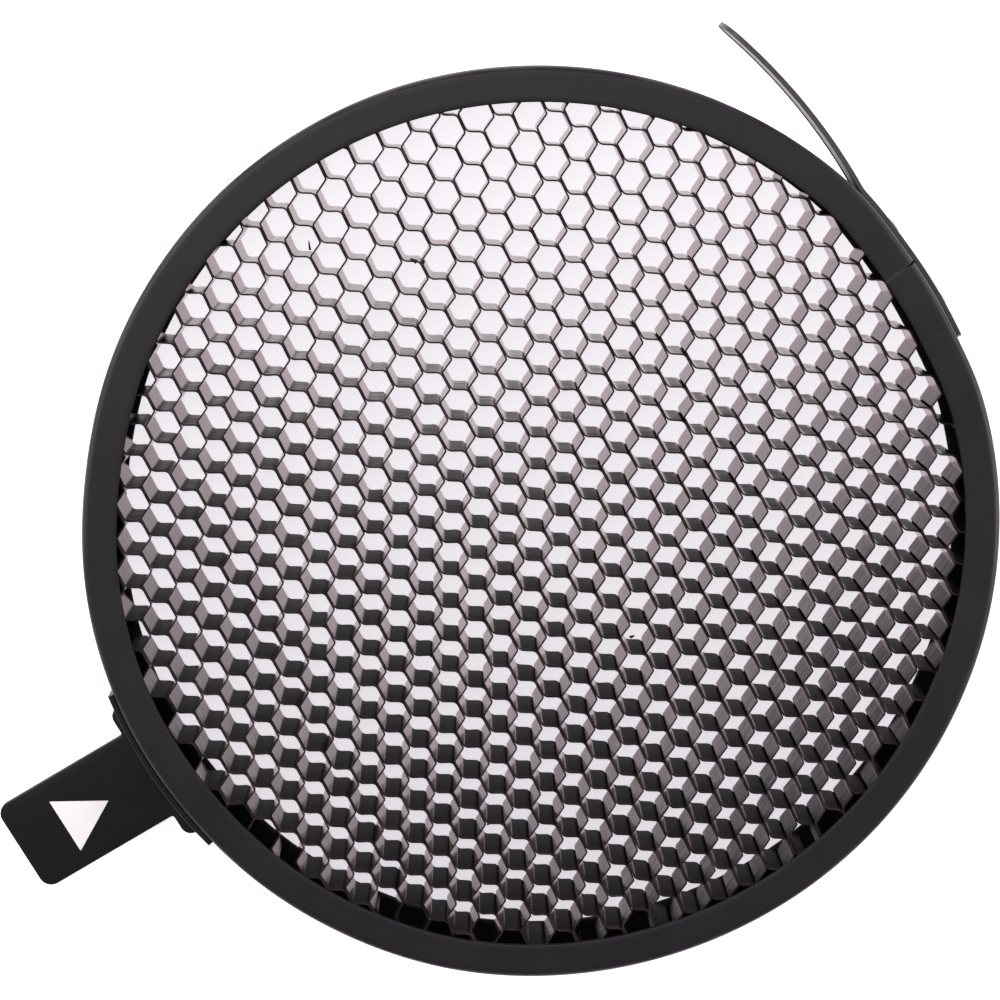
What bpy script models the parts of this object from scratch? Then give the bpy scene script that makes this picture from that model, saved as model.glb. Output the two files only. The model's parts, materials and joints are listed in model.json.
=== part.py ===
"""Honeycomb grid for a studio reflector: an open steel channel ring round a block of corrugated
foil, with a sprung splice strip over the ring's seam and a moulded pull tab opposite it.

The grid lies on its rear flange, front face up. Metres, +Z up. The origin is at the middle of
the footprint, so the ring's own axis stands RING_X to the right of it. Angles are measured
round the ring's axis from +X, where the seam is.
"""
from math import cos, pi, radians, sin, tan

import bmesh
import bpy
import numpy as np
from mathutils import Matrix

# ---- driving dimensions -------------------------------------------------------------------
GAP = 0.0003                     # left between pieces that touch
TINY = 1e-6                      # points closer than this are one point

RIM_RADIUS = 0.0890
RIM_HEIGHT = 0.0160
SHEET = 0.0008                   # steel of the rim
LIP = 0.0068                     # width of each flange over the core
RIM_BEND = 0.0012                # outer radius of the folded edges
RIM_STEPS = 72
SEAM_WIDTH = 0.0004

CELL_SIDE = 0.003502             # a hexagon 6.1 mm across its flats
EXPANSION = radians(61.5)        # how far the block is pulled open; 60 degrees is a true hexagon
FOIL = 0.00035                   # painted foil
CORE_RADIUS = 0.0828
ROW_COUNT = 27
ROW_OFFSET = -0.00079            # middle row to the ring's axis
ROW_SLIP = -0.00027              # each row lies this much further along, as the block is askew
CELL_PHASE = 0.0032              # a cell's middle in the middle row
RIBBON_ANGLE = radians(81.3)
MIN_BOND = 0.0005                # shortest glued wall left by the cut at the core's edge
SPARE_CELLS = 3                  # drawn past the core's edge before the cut
CUT_SAMPLES = 4001

STRIP_SHEET = 0.0010
STRIP_WIDTH = 0.0110
STRIP_START = radians(-11.6)
STRIP_STEPS = 12
LEAF_ROOT = radians(10.6)        # where the leaf leaves the ring
LEAF_KINK = radians(-17.0)       # turn away from the ring at the root
LEAF_LENGTH = 0.0418
LEAF_CURVE = 0.1150              # radius of the leaf's own curve
LEAF_STEPS = 10
LEAF_TIP_ROUND = 0.0030
TIP_ROUND_STEPS = 4

RIVET_ANGLE = radians(5.6)       # each side of its pair's middle
SPLICE_MIDDLE = radians(-0.8)
RIVET_HEAD = 0.0024              # radii
RIVET_TAIL = 0.0019
RIVET_SHANK = 0.0012
RIVET_HOLE = 0.0015
RIVET_DOME = 0.0006              # heights
TAIL_HEIGHT = 0.0008
RIVET_STEPS = 12

TAB_ANGLE = radians(176.3)       # middle of its flange
TAB_SKEW = radians(174.55)       # direction of its plate
TAB_REACH = 0.1240               # ring's axis to the middle of its end
TAB_WIDTH = 0.0194
TAB_SIDE = 0.0040                # ring's axis to the plate's centre line, sideways at the wall
TAB_CORNER = 0.0025
TAB_THICKNESS = 0.0016
PLATE_START = 0.0830             # the plate and ears run in to here before the seat is cut
EAR_REACH = 0.0941
EAR_SPAN = 0.0300
EAR_CORNER = 0.0018
FLANGE_WALL = 0.0011
FLANGE_HEIGHT = 0.0150
FLANGE_SPREAD = radians(22.8)
FLANGE_STEPS = 10

ARROW_SIDE = 0.0119
ARROW_REACH = 0.1104             # ring's axis to the arrow's middle
ARROW_ASIDE = -0.0004            # arrow's middle to the plate's centre line
ARROW_DEPTH = 0.0005
ARROW_FILM = 0.0002

CUTTER_LENGTH = 0.008            # hole cutters, across the rim's wall
SEAM_CUT = 0.020
CUT_SPARE = 0.001                # past the faces that a cutter goes through

# ---- worked out ---------------------------------------------------------------------------
STRIP_INNER = RIM_RADIUS + GAP
STRIP_OUTER = STRIP_INNER + STRIP_SHEET
FLANGE_OUTER = STRIP_INNER + FLANGE_WALL
MID_HEIGHT = RIM_HEIGHT / 2
TAB_LEAN = pi - TAB_SKEW
TAB_CORNER_X = ((TAB_REACH - TAB_CORNER) * cos(TAB_LEAN)
                + (TAB_WIDTH / 2 - TAB_CORNER) * sin(TAB_LEAN) + TAB_CORNER)
RIVET_CROWN = (STRIP_OUTER + GAP + RIVET_DOME) * cos(RIVET_ANGLE + SPLICE_MIDDLE)
RING_X = (TAB_CORNER_X - RIVET_CROWN) / 2
CORE_FLOOR = SHEET + GAP
CORE_HEIGHT = RIM_HEIGHT - 2 * CORE_FLOOR

HALF_PITCH = CELL_SIDE * sin(EXPANSION)
ROW_PITCH = 2 * HALF_PITCH
PERIOD = 2 * CELL_SIDE * (1 + cos(EXPANSION))
CELL_DEPTH = HALF_PITCH - GAP / 2 - FOIL
SLOPE_RUN = CELL_DEPTH / tan(EXPANSION)
FLAT = PERIOD / 2 - SLOPE_RUN


# ---- helpers ------------------------------------------------------------------------------
def clear_scene():
    for old in list(bpy.data.objects):
        bpy.data.objects.remove(old)


def new_collection(name):
    collection = bpy.data.collections.new(name)
    bpy.context.scene.collection.children.link(collection)
    return collection


def finish(name, colour, roughness, metallic):
    material = bpy.data.materials.new(name + "_finish")
    material.use_nodes = True
    shader = material.node_tree.nodes["Principled BSDF"]
    shader.inputs["Base Color"].default_value = (*colour, 1.0)
    shader.inputs["Roughness"].default_value = roughness
    shader.inputs["Metallic"].default_value = metallic
    return material


BLACK_STEEL = dict(colour=(0.035, 0.033, 0.036), roughness=0.5, metallic=0.4)
BLACK_FOIL = dict(colour=(0.045, 0.040, 0.042), roughness=0.55, metallic=0.3)
BLACK_RIVET = dict(colour=(0.030, 0.028, 0.030), roughness=0.4, metallic=0.5)
BLACK_PLASTIC = dict(colour=(0.012, 0.012, 0.013), roughness=0.45, metallic=0.0)
WHITE_FILM = dict(colour=(0.82, 0.79, 0.80), roughness=0.5, metallic=0.0)


def add_part(name, mesh, look, at=(RING_X, 0, 0), turn=(0, 0, 0)):
    part = bpy.data.objects.new(name, mesh)
    mesh.materials.clear()
    mesh.materials.append(finish(name, **look))
    part.location = at
    part.rotation_euler = turn
    PARTS.objects.link(part)
    return part


def plate_mesh(name, outlines, floor, thickness):
    """The mesh of a flat plate: closed outlines, holes among them, raised from the floor."""
    curve = bpy.data.curves.new(name, "CURVE")
    curve.dimensions = "2D"
    curve.fill_mode = "BOTH"
    curve.extrude = thickness / 2
    for outline in outlines:
        spline = curve.splines.new("POLY")
        spline.points.add(len(outline) - 1)
        for point, (x, y) in zip(spline.points, outline):
            point.co = (x, y, 0, 1)
        spline.use_cyclic_u = True
    guide = bpy.data.objects.new(name + "_outline", curve)
    bpy.context.scene.collection.objects.link(guide)
    bpy.context.view_layer.update()
    evaluated = guide.evaluated_get(bpy.context.evaluated_depsgraph_get())
    mesh = bpy.data.meshes.new_from_object(evaluated)
    mesh.name = name
    bpy.data.objects.remove(guide)
    bm = bmesh.new()
    bm.from_mesh(mesh)
    bmesh.ops.remove_doubles(bm, verts=bm.verts, dist=TINY)
    bmesh.ops.translate(bm, verts=bm.verts, vec=(0, 0, floor + thickness / 2))
    bmesh.ops.recalc_face_normals(bm, faces=bm.faces)
    bm.to_mesh(mesh)
    bm.free()
    return mesh


def cutter(name, mesh, at=(RING_X, 0, 0), turn=(0, 0, 0)):
    tool = bpy.data.objects.new(name, mesh)
    tool.location = at
    tool.rotation_euler = turn
    tool.hide_render = True
    tool.display_type = "WIRE"
    CUTTERS.objects.link(tool)
    return tool


def boolean(part, tool, operation="DIFFERENCE"):
    modifier = part.modifiers.new(tool.name, "BOOLEAN")
    modifier.operation = operation
    modifier.solver = "EXACT"
    modifier.object = tool


def turned(name, profile):
    """A mesh with one profile as a chain of edges at +X, for the Screw modifier to turn."""
    mesh = bpy.data.meshes.new(name)
    bm = bmesh.new()
    corners = [bm.verts.new((r, 0, z)) for r, z in profile]
    for lower, upper in zip(corners, corners[1:]):
        bm.edges.new((lower, upper))
    if profile[0][0] > 0:
        bm.edges.new((corners[-1], corners[0]))
    bm.to_mesh(mesh)
    bm.free()
    return mesh


def screw(part, steps):
    modifier = part.modifiers.new("turn", "SCREW")
    modifier.steps = steps
    modifier.render_steps = steps
    modifier.use_merge_vertices = True
    modifier.merge_threshold = 10 * TINY


def arc(radius, start, end, steps, centre=(0, 0)):
    angles = np.linspace(start, end, steps + 1)
    return [(centre[0] + radius * cos(a), centre[1] + radius * sin(a)) for a in angles]


def band(inner, outer, start, end, steps):
    return arc(inner, start, end, steps) + arc(outer, end, start, steps)


# ---- the ring -----------------------------------------------------------------------------
def rim_profile():
    """The folded channel, open inwards: down the outer side, then back up round the inside."""
    inside_bend = RIM_BEND - SHEET
    lip_edge = RIM_RADIUS - LIP
    bend_x = RIM_RADIUS - RIM_BEND
    top = RIM_HEIGHT - RIM_BEND
    points = [(lip_edge, RIM_HEIGHT)]
    points += arc(RIM_BEND, pi / 2, 0, 2, (bend_x, top))
    points += arc(RIM_BEND, 0, -pi / 2, 2, (bend_x, RIM_BEND))
    points += [(lip_edge, 0), (lip_edge, SHEET)]
    points += arc(inside_bend, -pi / 2, 0, 1, (bend_x, RIM_BEND))
    points += arc(inside_bend, 0, pi / 2, 1, (bend_x, top))
    points += [(lip_edge, RIM_HEIGHT - SHEET)]
    return points


def hole_cutter(name, angle):
    mesh = bpy.data.meshes.new(name)
    bm = bmesh.new()
    bmesh.ops.create_cone(bm, cap_ends=True, segments=RIVET_STEPS, radius1=RIVET_HOLE,
                          radius2=RIVET_HOLE, depth=CUTTER_LENGTH)
    bmesh.ops.rotate(bm, verts=bm.verts, cent=(0, 0, 0), matrix=Matrix.Rotation(pi / 2, 3, "Y"))
    bmesh.ops.translate(bm, verts=bm.verts, vec=(RIM_RADIUS, 0, MID_HEIGHT))
    bm.to_mesh(mesh)
    bm.free()
    return cutter(name, mesh, turn=(0, 0, angle))


def seam_cutter():
    mesh = bpy.data.meshes.new("seam_cutter")
    bm = bmesh.new()
    bmesh.ops.create_cube(bm, size=1)
    bmesh.ops.scale(bm, verts=bm.verts, vec=(SEAM_CUT, SEAM_WIDTH, 3 * RIM_HEIGHT))
    bmesh.ops.translate(bm, verts=bm.verts, vec=(RIM_RADIUS, 0, 0))
    bm.to_mesh(mesh)
    bm.free()
    return cutter("seam_cutter", mesh)


def make_rim(holes):
    rim = add_part("rim_channel", turned("rim_channel", rim_profile()), BLACK_STEEL)
    screw(rim, RIM_STEPS)
    boolean(rim, seam_cutter())
    for hole in holes:
        boolean(rim, hole)


# ---- the foil core ------------------------------------------------------------------------
def ribbon_side(middle, rise):
    """Corners of one face of a ribbon, as far past the core's edge as needed.

    The face is a trapezoid wave: glued flats at height rise, and crests CELL_DEPTH above them.
    Its slopes move outwards as the face lies further from the glue line, so the wall between
    two faces keeps its thickness. middle is the middle of one crest.
    """
    outwards = (rise - FOIL / 2) * tan(EXPANSION / 2)
    crest = FLAT / 2 + outwards
    foot = FLAT / 2 + SLOPE_RUN + outwards
    count = int(CORE_RADIUS / PERIOD) + SPARE_CELLS
    centres = middle + PERIOD * np.arange(-count, count + 1)
    x = (centres[:, None] + np.array([-foot, -crest, crest, foot])).ravel()
    y = np.tile([rise, rise + CELL_DEPTH, rise + CELL_DEPTH, rise], len(centres))
    return x, y


def between(side, start, end):
    """The part of a face from start to end, both ends cut square."""
    x, y = side
    kept = (x > start + TINY) & (x < end - TINY)
    heights = np.interp([start, end], x, y)
    inner = list(zip(x[kept], y[kept]))
    return [(start, heights[0])] + inner + [(end, heights[1])]


def cut_ends(middle, row_y, sign):
    """Where the core's round edge cuts one ribbon, kept clear of the ends of its glued walls."""
    x, y = ribbon_side(middle, FOIL / 2)
    along = np.linspace(-CORE_RADIUS, CORE_RADIUS, CUT_SAMPLES)
    inside = np.hypot(along, row_y + sign * np.interp(along, x, y)) < CORE_RADIUS
    outside = np.flatnonzero(~inside)
    centre = len(along) // 2
    ends = [along[outside[outside < centre].max() + 1], along[outside[outside > centre].min() - 1]]
    feet = np.sort(x[y < FOIL])
    glue_starts = {-1: feet[0::2], 1: feet[1::2]}
    for side in (0, 1):
        way = 2 * side - 1
        near = glue_starts[way][np.abs(glue_starts[way] - ends[side]) < MIN_BOND]
        if len(near):
            ends[side] = near[0] + way * MIN_BOND
    return ends


def lone_ribbon(outer, inner, row_y, ends):
    """Outline of the ribbon nearer the ring's axis, in a row too short to close a cell."""
    way = -1 if row_y > 0 else 1
    outline = between(outer, *ends) + between(inner, *ends)[::-1]
    return [(x, row_y + way * y) for x, y in outline]


def row_outlines(middle, row_y):
    """Outline of two ribbons glued back to back, and the cells closed between them."""
    outer = ribbon_side(middle, FOIL)
    inner = ribbon_side(middle, 0)
    up = cut_ends(middle, row_y, 1)
    down = cut_ends(middle, row_y, -1)
    shared = (max(up[0], down[0]), min(up[1], down[1]))

    feet = inner[0].reshape(-1, 4)[:, [0, 3]]
    closed = [(a, b) for a, b in feet if a > shared[0] and b < shared[1]]
    if not closed:
        return [lone_ribbon(outer, inner, row_y, down if row_y > 0 else up)]
    left_glue = closed[0][0] - (PERIOD - (closed[0][1] - closed[0][0]))
    right_glue = closed[-1][1] + (PERIOD - (closed[-1][1] - closed[-1][0]))
    left = max(shared[0], left_glue)
    right = min(shared[1], right_glue)

    def flip(points):
        return [(x, -y) for x, y in points]

    outline = between(outer, up[0], up[1])
    outline += between(inner, right, up[1])[::-1]
    outline += flip(between(inner, right, down[1]))
    outline += flip(between(outer, down[0], down[1])[::-1])
    outline += flip(between(inner, down[0], left))
    outline += between(inner, up[0], left)[::-1]
    following = outline[1:] + outline[:1]
    outline = [p for p, q in zip(outline, following) if np.hypot(*np.subtract(p, q)) > 2 * TINY]

    crest = (closed[0][1] - closed[0][0]) / 2 - SLOPE_RUN
    cells = []
    for a, b in closed:
        centre = (a + b) / 2
        top = [(a, 0), (centre - crest, CELL_DEPTH), (centre + crest, CELL_DEPTH), (b, 0)]
        cells.append(top + [(centre + crest, -CELL_DEPTH), (centre - crest, -CELL_DEPTH)])
    return [[(x, y + row_y) for x, y in loop] for loop in [outline] + cells]


def make_core():
    for index in range(ROW_COUNT):
        step = index - ROW_COUNT // 2
        name = f"foil_ribbons_{index + 1:02d}"
        loops = row_outlines(CELL_PHASE + step * ROW_SLIP, ROW_OFFSET + step * ROW_PITCH)
        mesh = plate_mesh(name, loops, CORE_FLOOR, CORE_HEIGHT)
        add_part(name, mesh, BLACK_FOIL, turn=(0, 0, RIBBON_ANGLE))


# ---- the splice strip and its leaf --------------------------------------------------------
def make_splice(holes):
    end = LEAF_ROOT - GAP / STRIP_INNER
    floor = MID_HEIGHT - STRIP_WIDTH / 2
    outline = band(STRIP_INNER, STRIP_OUTER, STRIP_START, end, STRIP_STEPS)
    mesh = plate_mesh("splice_strip", [outline], floor, STRIP_WIDTH)
    strip = add_part("splice_strip", mesh, BLACK_STEEL)
    for hole in holes:
        boolean(strip, hole)


def make_leaf():
    """The free end of the strip, in a body of its own that turns about the root."""
    root_radius = STRIP_INNER + STRIP_SHEET / 2
    pivot = (RING_X + root_radius * cos(LEAF_ROOT), root_radius * sin(LEAF_ROOT), 0)
    hinge = bpy.data.objects.new("leaf_hinge", None)
    hinge.location = pivot
    hinge.rotation_euler = (0, 0, LEAF_ROOT + LEAF_KINK)
    PARTS.objects.link(hinge)

    sweep = (LEAF_LENGTH - 1.1 * LEAF_TIP_ROUND) / LEAF_CURVE
    inner = LEAF_CURVE - STRIP_SHEET / 2
    outer = LEAF_CURVE + STRIP_SHEET / 2
    last = LEAF_LENGTH / LEAF_CURVE
    start = STRIP_SHEET / 2 / LEAF_CURVE
    centre = (-LEAF_CURVE, 0)
    outline = arc(inner, start, sweep, LEAF_STEPS, centre) + arc(inner, last, last, 0, centre)
    outline += arc(outer, last, last, 0, centre) + arc(outer, sweep, start, LEAF_STEPS, centre)
    mesh = plate_mesh("leaf_spring", [outline], MID_HEIGHT - STRIP_WIDTH / 2, STRIP_WIDTH)

    bm = bmesh.new()
    bm.from_mesh(mesh)
    tip_y = LEAF_CURVE * sin(last)
    corners = [edge for edge in bm.edges
               if all(vert.co.y > tip_y - STRIP_SHEET for vert in edge.verts)
               and abs(edge.verts[0].co.z - edge.verts[1].co.z) < TINY]
    bmesh.ops.bevel(bm, geom=corners, offset=LEAF_TIP_ROUND, segments=TIP_ROUND_STEPS, profile=0.5,
                    affect="EDGES")
    bm.to_mesh(mesh)
    bm.free()
    leaf = add_part("leaf_spring", mesh, BLACK_STEEL, at=(0, 0, 0))
    leaf.parent = hinge


# ---- rivets -------------------------------------------------------------------------------
def make_rivet(name, angle, outer_face):
    """A domed head outside, its shank through both walls, and the upset tail in the channel."""
    grip = outer_face + GAP - (RIM_RADIUS - SHEET - GAP)
    dome = [(RIVET_HEAD * sin(a), RIVET_DOME * cos(a)) for a in (0, pi / 5, 2 * pi / 5)]
    shank = [(RIVET_HEAD, 0), (RIVET_SHANK, 0), (RIVET_SHANK, -grip)]
    tail = [(RIVET_TAIL, -grip), (RIVET_SHANK, -grip - TAIL_HEIGHT), (0, -grip - TAIL_HEIGHT)]
    head = outer_face + GAP
    place = (RING_X + head * cos(angle), head * sin(angle), MID_HEIGHT)
    mesh = turned(name, dome + shank + tail)
    rivet = add_part(name, mesh, BLACK_RIVET, at=place, turn=(0, pi / 2, angle))
    screw(rivet, RIVET_STEPS)


# ---- the pull tab -------------------------------------------------------------------------
def tab_point(reach, side):
    """A point of the plate: reach from the ring's axis along the skewed plate, and sideways."""
    x, y = cos(TAB_SKEW), sin(TAB_SKEW)
    base = TAB_SIDE - RIM_RADIUS * sin(TAB_LEAN)
    return (reach * x + side * y, base + reach * y - side * x)


def rounded(corners, radius, steps=4):
    """An outline with its convex square corners turned on a radius."""
    points = []
    for before, corner, after in zip(corners[-1:] + corners[:-1], corners, corners[1:] + corners[:1]):
        before, corner, after = (np.array(p) for p in (before, corner, after))
        back = (before - corner) / np.linalg.norm(before - corner)
        on = (after - corner) / np.linalg.norm(after - corner)
        centre = corner + (back + on) * radius
        for turn in np.linspace(0, pi / 2, steps + 1):
            points.append(tuple(centre - on * radius * cos(turn) - back * radius * sin(turn)))
    return points


def block(near, far, width):
    half = width / 2
    return [tab_point(near, -half), tab_point(far, -half), tab_point(far, half), tab_point(near, half)]


def arrow_outline(side):
    """An equilateral triangle on the plate's centre line, one corner towards the ring."""
    corner = side / 3 ** 0.5
    return [tab_point(ARROW_REACH - corner * cos(a), ARROW_ASIDE + corner * sin(a))
            for a in (0, 2 * pi / 3, 4 * pi / 3)]


def make_tab(holes):
    start, end = TAB_ANGLE - FLANGE_SPREAD / 2, TAB_ANGLE + FLANGE_SPREAD / 2
    flange = band(STRIP_INNER, FLANGE_OUTER, start, end, FLANGE_STEPS)
    tab = add_part("pull_tab", plate_mesh("pull_tab", [flange], 0, FLANGE_HEIGHT), BLACK_PLASTIC)

    seat = arc(STRIP_INNER + FLANGE_WALL / 2, start, end, FLANGE_STEPS) + [(0, 0)]
    seat_mesh = plate_mesh("tab_seat", [seat], -CUT_SPARE, TAB_THICKNESS + 2 * CUT_SPARE)
    seat_tool = cutter("tab_seat", seat_mesh)
    for name, reach, span, corner in (("tab_plate", TAB_REACH, TAB_WIDTH, TAB_CORNER),
                                      ("tab_ears", EAR_REACH, EAR_SPAN, EAR_CORNER)):
        outline = rounded(block(PLATE_START, reach, span), corner)
        plate = cutter(name, plate_mesh(name, [outline], 0, TAB_THICKNESS))
        boolean(plate, seat_tool)
        boolean(tab, plate, "UNION")
    pocket = arrow_outline(ARROW_SIDE + 2 * 3 ** 0.5 * GAP)
    pocket_mesh = plate_mesh("arrow_pocket", [pocket], TAB_THICKNESS - ARROW_DEPTH, ARROW_DEPTH + CUT_SPARE)
    boolean(tab, cutter("arrow_pocket", pocket_mesh))
    for hole in holes:
        boolean(tab, hole)

    film = plate_mesh("arrow_label", [arrow_outline(ARROW_SIDE)], TAB_THICKNESS - ARROW_FILM, ARROW_FILM)
    add_part("arrow_label", film, WHITE_FILM)


clear_scene()
PARTS = new_collection("honeycomb_grid")
CUTTERS = new_collection("cutters")

splice_angles = (SPLICE_MIDDLE - RIVET_ANGLE, SPLICE_MIDDLE + RIVET_ANGLE)
tab_angles = (TAB_ANGLE - RIVET_ANGLE, TAB_ANGLE + RIVET_ANGLE)
splice_holes = [hole_cutter(f"splice_hole_{i + 1}", a) for i, a in enumerate(splice_angles)]
tab_holes = [hole_cutter(f"tab_hole_{i + 1}", a) for i, a in enumerate(tab_angles)]

make_rim(splice_holes + tab_holes)
make_core()
make_splice(splice_holes)
make_leaf()
make_tab(tab_holes)
for number, place in enumerate(splice_angles, start=1):
    make_rivet(f"splice_rivet_{number}", place, STRIP_OUTER)
for number, place in enumerate(tab_angles, start=1):
    make_rivet(f"tab_rivet_{number}", place, FLANGE_OUTER)
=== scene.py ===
"""Finished looks for a studio honeycomb grid: folded steel rim, corrugated foil core, sprung
splice strip, rivets and a moulded pull tab, on a lit pale table.

Run as a script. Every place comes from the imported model: the rim's box gives the ring's axis,
radius and height, and lengths are in metres. Angles are measured round the ring's axis from +X,
where the rim's seam is. Along is the direction in which the foils run.
"""

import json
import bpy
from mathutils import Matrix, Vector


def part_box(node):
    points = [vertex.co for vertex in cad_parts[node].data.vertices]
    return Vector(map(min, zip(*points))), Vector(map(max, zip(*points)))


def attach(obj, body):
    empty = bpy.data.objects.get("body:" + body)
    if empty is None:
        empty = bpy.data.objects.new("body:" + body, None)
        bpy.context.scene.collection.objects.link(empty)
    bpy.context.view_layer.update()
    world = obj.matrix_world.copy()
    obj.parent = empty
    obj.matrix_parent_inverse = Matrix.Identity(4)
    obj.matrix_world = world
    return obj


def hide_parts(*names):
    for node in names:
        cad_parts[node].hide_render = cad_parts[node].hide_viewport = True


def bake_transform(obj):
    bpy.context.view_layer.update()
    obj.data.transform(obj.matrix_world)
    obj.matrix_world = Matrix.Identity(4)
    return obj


bl_info = {
    "name": "Honeycomb Grid",
    "version": (1, 0, 0),
    "blender": (4, 5, 0),
    "location": "View3D > Sidebar > Grid",
    "description": "Builds a studio honeycomb grid piece by piece, with its table and lights",
    "category": "Object",
}

from math import cos, pi, radians, sin, tan

import bpy
import numpy as np
from bpy.props import FloatProperty, FloatVectorProperty, IntProperty, PointerProperty
from mathutils import Matrix, Vector

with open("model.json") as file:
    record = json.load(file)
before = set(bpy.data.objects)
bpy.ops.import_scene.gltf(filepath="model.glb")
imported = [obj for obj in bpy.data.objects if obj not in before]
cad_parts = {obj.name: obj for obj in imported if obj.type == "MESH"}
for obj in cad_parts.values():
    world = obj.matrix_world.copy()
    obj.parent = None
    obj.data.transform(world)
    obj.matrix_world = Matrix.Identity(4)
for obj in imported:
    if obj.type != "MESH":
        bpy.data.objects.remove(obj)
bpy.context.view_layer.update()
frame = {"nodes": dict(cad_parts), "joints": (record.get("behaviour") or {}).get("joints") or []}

MM = 0.001
RIM_LOW, RIM_HIGH = (np.array(corner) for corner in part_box("rim_channel"))
AXIS = (RIM_LOW[:2] + RIM_HIGH[:2]) / 2
RIM_RADIUS = float(RIM_HIGH[0] - RIM_LOW[0]) / 2
RIM_HEIGHT = float(RIM_HIGH[2])
MID_HEIGHT = RIM_HEIGHT / 2
STRIP_LOW, STRIP_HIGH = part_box("splice_strip")
STRIP_WIDTH = STRIP_HIGH[2] - STRIP_LOW[2]
LEAF_PIVOT = np.array(next(j for j in frame["joints"] if j["name"] == "leaf_flex")["pos_m"])
LEAF_ROOT = float(np.arctan2(LEAF_PIVOT[1] - AXIS[1], LEAF_PIVOT[0] - AXIS[0]))
FOIL_LOW, FOIL_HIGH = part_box("foil_ribbons_14")
FOIL_ROWS = sum(name.startswith("foil_ribbons_") for name in frame["nodes"])
TAB_LOW, TAB_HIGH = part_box("pull_tab")

SHEET = 0.8 * MM
STRIP_GAP = 0.1 * MM
STRIP_SHEET = 1.0 * MM
RIVET_ANGLE = radians(5.6)          # each side of its pair's middle
SPLICE_MIDDLE = radians(-0.8)
TAB_ANGLE = radians(176.3)


# ---- sizes and colours a user would change --------------------------------------------------
class GRID_PG_rim(bpy.types.PropertyGroup):
    lip: FloatProperty(name="Lip", description="Width of each flange over the core",
                       default=6.8 * MM, unit="LENGTH")
    bend: FloatProperty(name="Bend", description="Outer radius of the folded edges",
                        default=1.3 * MM, unit="LENGTH")
    seam: FloatProperty(name="Seam", description="Opening of the seam between the lips",
                        default=0.04 * MM, unit="LENGTH", precision=5)
    notch: FloatProperty(name="Notch", description="Further opening of the seam at the bends",
                         default=0.5 * MM, unit="LENGTH", precision=5)
    steps: IntProperty(name="Steps", description="Sections round the ring", default=540, min=90)
    paint: FloatVectorProperty(name="Paint", description="Black enamel", subtype="COLOR",
                               size=3, default=(0.0085, 0.0066, 0.0084), min=0, max=1)


class GRID_PG_core(bpy.types.PropertyGroup):
    cell_side: FloatProperty(name="Cell side", description="Side of a hexagonal cell",
                             default=3.502 * MM, unit="LENGTH", precision=5)
    expansion: FloatProperty(name="Expansion", description="Angle the foils are pulled open to",
                             default=radians(61.5), subtype="ANGLE")
    foil: FloatProperty(name="Foil", description="Thickness of the painted foil",
                        default=0.33 * MM, unit="LENGTH", precision=5)
    fold: FloatProperty(name="Fold", description="Radius of the folds on each tooth's leading side",
                        default=1.3 * MM, unit="LENGTH", precision=5)
    crisp: FloatProperty(name="Crisp fold", description="Radius of the folds on its trailing side",
                         default=0.42 * MM, unit="LENGTH", precision=5)
    radius: FloatProperty(name="Core radius", description="Radius the foils are cut to",
                          default=83.4 * MM, unit="LENGTH")
    ribbon_angle: FloatProperty(name="Ribbon angle", description="Direction the foils run in",
                                default=radians(81.3), subtype="ANGLE")
    slip: FloatProperty(name="Slip", description="Typical misplacement of a foil when glued",
                        default=0.07 * MM, unit="LENGTH", precision=5)


class GRID_PG_stage(bpy.types.PropertyGroup):
    camera_height: FloatProperty(name="Camera height", default=558.85 * MM, unit="LENGTH",
                                 description="Height of the camera over the table")
    camera_tilt: FloatProperty(name="Camera tilt", default=radians(9.04), subtype="ANGLE",
                               description="Lean of the camera from straight down")
    camera_side: FloatProperty(name="Camera side tilt", default=radians(0.73), subtype="ANGLE",
                               description="Lean of the camera to its right")
    picture_up: FloatProperty(name="Picture up", default=radians(53.8), subtype="ANGLE",
                              description="Direction on the table that points up in the picture")
    lens: FloatProperty(name="Lens", description="Focal length for a 36 mm sensor",
                        default=102.8, subtype="DISTANCE_CAMERA")
    table_glow: FloatProperty(name="Table glow", description="Light given off by the table",
                              default=0.77, min=0)


# ---- small tools ----------------------------------------------------------------------------
def linear(hex_colour):
    """sRGB hex to linear light, with alpha 1."""
    parts = [int(hex_colour[i:i + 2], 16) / 255 for i in (1, 3, 5)]
    return tuple(p / 12.92 if p <= 0.04045 else ((p + 0.055) / 1.055) ** 2.4 for p in parts) + (1,)


def feed(tree, node, values):
    """Fills a node's inputs: a socket among the values is linked, a plain value is stored."""
    for key, value in values.items():
        if isinstance(value, bpy.types.NodeSocket):
            tree.links.new(value, node.inputs[key])
        else:
            node.inputs[key].default_value = value


def add_node(tree, kind, values, **properties):
    """Adds one node, sets its properties and then fills its inputs."""
    node = tree.nodes.new(kind)
    for key, value in properties.items():
        setattr(node, key, value)
    feed(tree, node, values)
    return node


def new_material(name, shader_values):
    """A material with its Principled shader set; returns the material, its tree and shader."""
    material = bpy.data.materials.new(name)
    material.use_nodes = True
    tree = material.node_tree
    shader = tree.nodes["Principled BSDF"]
    feed(tree, shader, shader_values)
    return material, tree, shader


def object_place(tree, waves):
    """Object coordinates times so many waves per metre: one number, or one along each axis."""
    place = add_node(tree, "ShaderNodeTexCoord", {}).outputs["Object"]
    scale = waves if isinstance(waves, tuple) else (waves,) * 3
    return add_node(tree, "ShaderNodeMapping", {"Vector": place, "Scale": scale}).outputs[0]


def noise(tree, waves, detail, **values):
    """Factor of a noise over the object; values are further inputs of its node."""
    place = object_place(tree, waves)
    return add_node(tree, "ShaderNodeTexNoise",
                    {"Vector": place, "Scale": 1.0, "Detail": detail, **values}).outputs["Fac"]


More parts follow.
